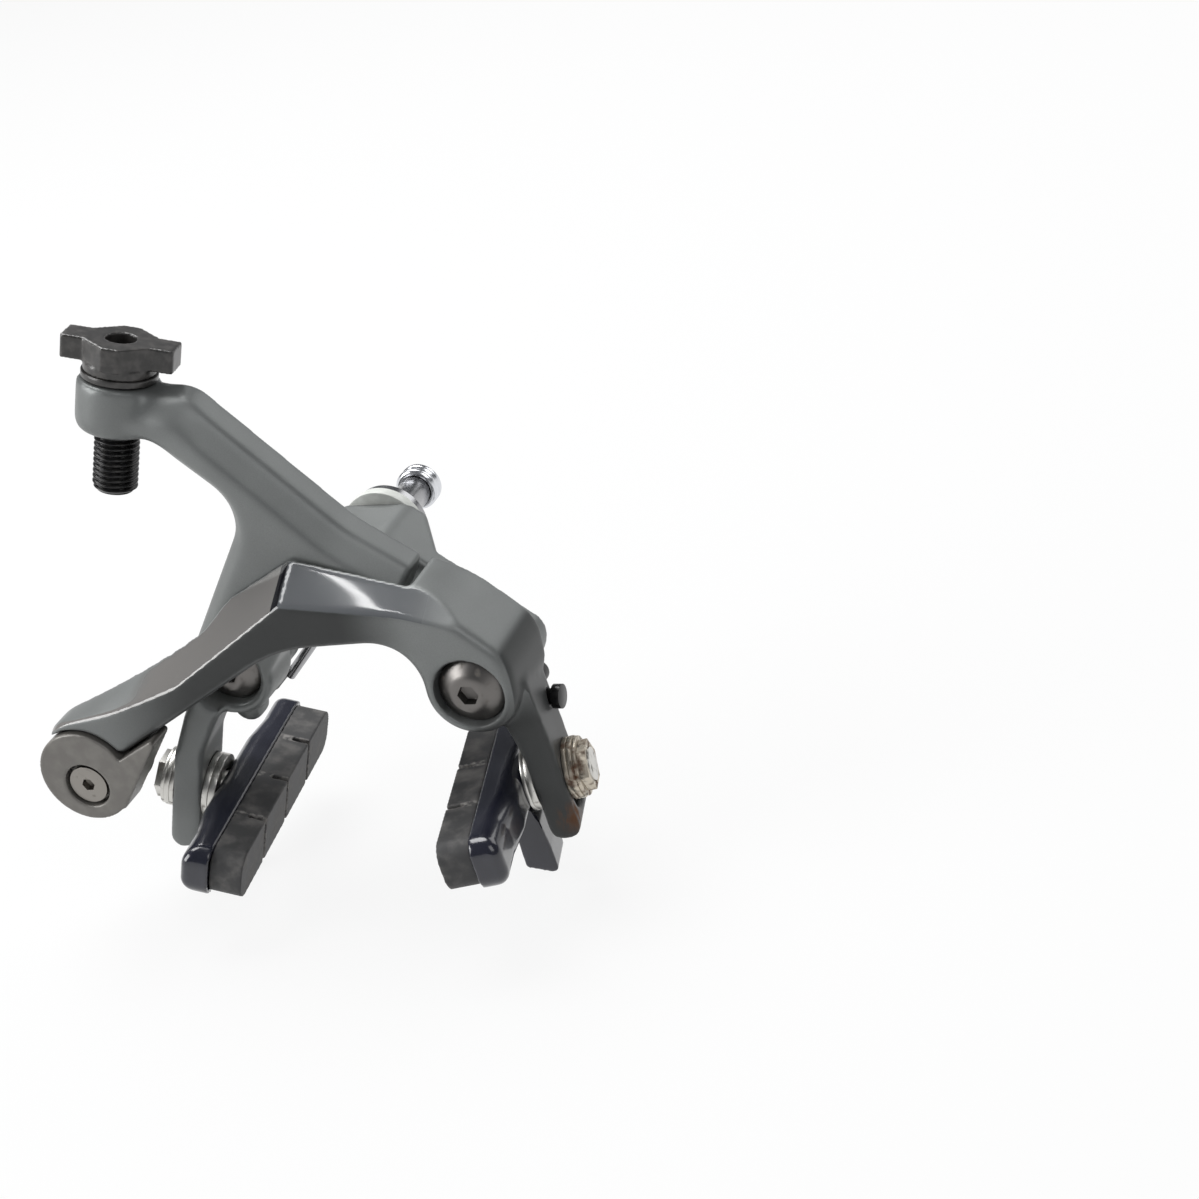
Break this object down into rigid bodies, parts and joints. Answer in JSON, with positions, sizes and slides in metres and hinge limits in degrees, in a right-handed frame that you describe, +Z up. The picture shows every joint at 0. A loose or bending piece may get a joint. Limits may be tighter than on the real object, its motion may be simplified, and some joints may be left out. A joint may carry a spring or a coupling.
{
  "type": "dual-pivot caliper brake",
  "caption": "Dual-pivot caliper rim brake with crossed arms on an arch bracket, shoe pads with dished washers, a winged cable adjuster and an eccentric quick-release lever.",
  "frame": {"origin": "axis of the mounting bolt at the face that meets the bicycle's frame", "axes": "+X to the right seen from the front, +Y back toward the bicycle's frame along the bolt, +Z up"},
  "size_m": [0.0995, 0.07, 0.1093],
  "materials": {
    "arm_metal": "satin grey paint",
    "bolt_steel": "turned",
    "nut_chrome": "plated",
    "pale_aluminium": "matte",
    "black_steel": "blackened, worn",
    "bush_brass": "plain",
    "slider_plastic": "matte",
    "lever_paint": "satin",
    "anchor_steel": "turned",
    "knob_plastic": "satin",
    "washer_steel": "plated",
    "holder_paint": "gloss",
    "pad_rubber": "moulded"
  },
  "bodies": {
    "bracket": {"arch_bracket": "arm_metal", "center_bolt": "bolt_steel", "spacer_washer": "pale_aluminium", "toothed_washer": "bolt_steel", "mounting_nut": "nut_chrome", "left_pivot_bolt": "black_steel", "right_pivot_bolt": "black_steel", "left_pivot_bush": "bush_brass", "right_pivot_bush": "bush_brass", "return_spring": "bolt_steel"},
    "front_arm": {"front_arm": "arm_metal", "centring_screw": "black_steel", "right_spring_slider": "slider_plastic", "right_inner_cup": "washer_steel", "right_inner_dome": "washer_steel", "right_outer_cup": "washer_steel", "right_outer_dome": "washer_steel", "right_pad_nut": "washer_steel", "right_pad_stud": "washer_steel", "right_pad_holder": "holder_paint", "right_brake_pad": "pad_rubber", "right_pad_keeper": "washer_steel"},
    "rear_arm": {"rear_arm": "arm_metal", "roller_pin": "bolt_steel", "left_spring_slider": "slider_plastic", "left_inner_cup": "washer_steel", "left_inner_dome": "washer_steel", "left_outer_cup": "washer_steel", "left_outer_dome": "washer_steel", "left_pad_nut": "washer_steel", "left_pad_stud": "washer_steel", "left_pad_holder": "holder_paint", "left_brake_pad": "pad_rubber", "left_pad_keeper": "washer_steel"},
    "link_roller": {"link_roller": "slider_plastic"},
    "release_lever": {"release_lever": "lever_paint"},
    "cable_anchor": {"anchor_bolt": "anchor_steel", "cable_clamp": "anchor_steel", "anchor_nut": "anchor_steel"},
    "adjuster_ring": {"adjuster_ring": "arm_metal"},
    "adjuster": {"adjuster_barrel": "black_steel", "adjuster_knob": "knob_plastic"}
  },
  "joints": [
    {"name": "front_arm_pivot", "type": "hinge", "parent": "bracket", "child": "front_arm", "pos_m": [0.025, 0, -0.016], "axis": [0, 1, 0], "range_deg": [0, 14], "stiffness_Nm_per_rad": 0.8, "springref_deg": -17.19, "deforming": ["return_spring"]},
    {"name": "rear_arm_pivot", "type": "hinge", "parent": "bracket", "child": "rear_arm", "pos_m": [-0.025, 0, -0.016], "axis": [0, -1, 0], "range_deg": [0, 14]},
    {"name": "roller_spin", "type": "hinge", "parent": "rear_arm", "child": "link_roller", "pos_m": [0, 0, 0.0004], "axis": [0, 1, 0], "continuous": true},
    {"name": "release_turn", "type": "hinge", "parent": "front_arm", "child": "release_lever", "pos_m": [-0.0499, 0, -0.0282], "axis": [0, 1, 0], "range_deg": [0, 120]},
    {"name": "anchor_swivel", "type": "hinge", "parent": "release_lever", "child": "cable_anchor", "pos_m": [-0.0499, 0, -0.0301], "axis": [0, 1, 0], "continuous": true},
    {"name": "adjuster_lift", "type": "slide", "parent": "rear_arm", "child": "adjuster_ring", "axis": [0.273, 0.1392, 0.9519], "range_m": [0, 0.016]},
    {"name": "adjuster_turn", "type": "hinge", "parent": "adjuster_ring", "child": "adjuster", "pos_m": [-0.0349, -0.0219, 0.0352], "axis": [0.273, 0.1392, 0.9519], "range_deg": [0, 2880]}
  ],
  "couplings": [
    {"joint": "rear_arm_pivot", "follows": "front_arm_pivot", "ratio": 1},
    {"joint": "adjuster_lift", "follows": "adjuster_turn", "m_per_rad": 0.00015915}
  ]
}
